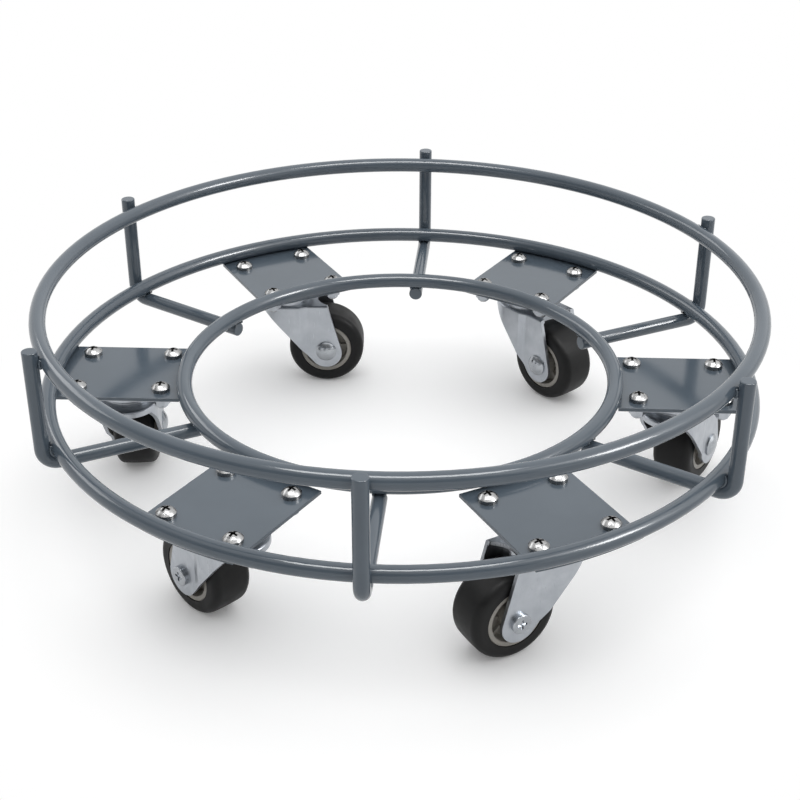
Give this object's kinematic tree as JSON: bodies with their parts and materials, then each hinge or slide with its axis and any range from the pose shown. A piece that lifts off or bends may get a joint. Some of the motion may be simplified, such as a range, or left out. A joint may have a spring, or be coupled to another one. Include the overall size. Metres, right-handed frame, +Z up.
{
  "type": "gas cylinder trolley",
  "caption": "Low round trolley of welded rod on swivel casters: a standing gas cylinder rests on the ring deck inside a raised keeper ring and is rolled about.",
  "frame": {"origin": "on the floor under the middle of the rings", "axes": "+Z up, square to the rings; +X from the middle towards caster 1, +Y a quarter turn on"},
  "size_m": [0.4089, 0.4254, 0.1366],
  "materials": {
    "frame_paint": "semi-gloss blue-grey powder coat",
    "zinc_plate": "satin zinc plate on pressed steel",
    "bright_screw": "bright plated screw heads",
    "bright_steel": "plated turned steel",
    "tyre_rubber": "smooth black rubber",
    "wheel_plastic": "warm grey moulded plastic"
  },
  "bodies": {
    "frame": {"top_ring": "frame_paint", "lower_ring": "frame_paint", "inner_ring": "frame_paint", "upright_rod_1": "frame_paint", "upright_rod_2": "frame_paint", "upright_rod_3": "frame_paint", "upright_rod_4": "frame_paint", "upright_rod_5": "frame_paint", "upright_rod_6": "frame_paint", "mounting_plate_1": "frame_paint", "mounting_plate_2": "frame_paint", "mounting_plate_3": "frame_paint", "mounting_plate_4": "frame_paint", "mounting_plate_5": "frame_paint", "mounting_plate_6": "frame_paint", "plate_screws": "bright_screw", "plate_nuts": "zinc_plate", "caster_top_plates": "zinc_plate", "race_cups": "zinc_plate", "kingpins": "bright_steel", "bearing_balls": "bright_steel"},
    "caster_1": {"fork_1": "zinc_plate", "axle_bolt_1": "bright_steel", "axle_nut_1": "bright_steel", "axle_sleeve_1": "bright_steel"},
    "wheel_1": {"tyre_1": "tyre_rubber", "wheel_centre_1": "wheel_plastic"},
    "caster_2": {"fork_2": "zinc_plate", "axle_bolt_2": "bright_steel", "axle_nut_2": "bright_steel", "axle_sleeve_2": "bright_steel"},
    "wheel_2": {"tyre_2": "tyre_rubber", "wheel_centre_2": "wheel_plastic"},
    "caster_3": {"fork_3": "zinc_plate", "axle_bolt_3": "bright_steel", "axle_nut_3": "bright_steel", "axle_sleeve_3": "bright_steel"},
    "wheel_3": {"tyre_3": "tyre_rubber", "wheel_centre_3": "wheel_plastic"},
    "caster_4": {"fork_4": "zinc_plate", "axle_bolt_4": "bright_steel", "axle_nut_4": "bright_steel", "axle_sleeve_4": "bright_steel"},
    "wheel_4": {"tyre_4": "tyre_rubber", "wheel_centre_4": "wheel_plastic"},
    "caster_5": {"fork_5": "zinc_plate", "axle_bolt_5": "bright_steel", "axle_nut_5": "bright_steel", "axle_sleeve_5": "bright_steel"},
    "wheel_5": {"tyre_5": "tyre_rubber", "wheel_centre_5": "wheel_plastic"},
    "caster_6": {"fork_6": "zinc_plate", "axle_bolt_6": "bright_steel", "axle_nut_6": "bright_steel", "axle_sleeve_6": "bright_steel"},
    "wheel_6": {"tyre_6": "tyre_rubber", "wheel_centre_6": "wheel_plastic"}
  },
  "joints": [
    {"name": "swivel_1", "type": "hinge", "parent": "frame", "child": "caster_1", "pos_m": [0.16, 0, 0.0578], "axis": [0, 0, 1], "continuous": true},
    {"name": "spin_1", "type": "hinge", "parent": "caster_1", "child": "wheel_1", "pos_m": [0.17343, 0.02108, 0.025], "axis": [-0.8434, 0.5373, 0], "continuous": true},
    {"name": "swivel_2", "type": "hinge", "parent": "frame", "child": "caster_2", "pos_m": [0.08, 0.13856, 0.0578], "axis": [0, 0, 1], "continuous": true},
    {"name": "spin_2", "type": "hinge", "parent": "caster_2", "child": "wheel_2", "pos_m": [0.09705, 0.12028, 0.025], "axis": [0.7314, 0.682, 0], "continuous": true},
    {"name": "swivel_3", "type": "hinge", "parent": "frame", "child": "caster_3", "pos_m": [-0.08, 0.13856, 0.0578], "axis": [0, 0, 1], "continuous": true},
    {"name": "spin_3", "type": "hinge", "parent": "caster_3", "child": "wheel_3", "pos_m": [-0.05502, 0.13944, 0.025], "axis": [-0.0349, 0.9994, 0], "continuous": true},
    {"name": "swivel_4", "type": "hinge", "parent": "frame", "child": "caster_4", "pos_m": [-0.16, 0, 0.0578], "axis": [0, 0, 1], "continuous": true},
    {"name": "spin_4", "type": "hinge", "parent": "caster_4", "child": "wheel_4", "pos_m": [-0.16218, 0.0249, 0.025], "axis": [-0.9962, -0.0872, 0], "continuous": true},
    {"name": "swivel_5", "type": "hinge", "parent": "frame", "child": "caster_5", "pos_m": [-0.08, -0.13856, 0.0578], "axis": [0, 0, 1], "continuous": true},
    {"name": "spin_5", "type": "hinge", "parent": "caster_5", "child": "wheel_5", "pos_m": [-0.09783, -0.12104, 0.025], "axis": [-0.7009, -0.7133, 0], "continuous": true},
    {"name": "swivel_6", "type": "hinge", "parent": "frame", "child": "caster_6", "pos_m": [0.08, -0.13856, 0.0578], "axis": [0, 0, 1], "continuous": true},
    {"name": "spin_6", "type": "hinge", "parent": "caster_6", "child": "wheel_6", "pos_m": [0.0588, -0.15181, 0.025], "axis": [0.5299, -0.848, 0], "continuous": true}
  ]
}
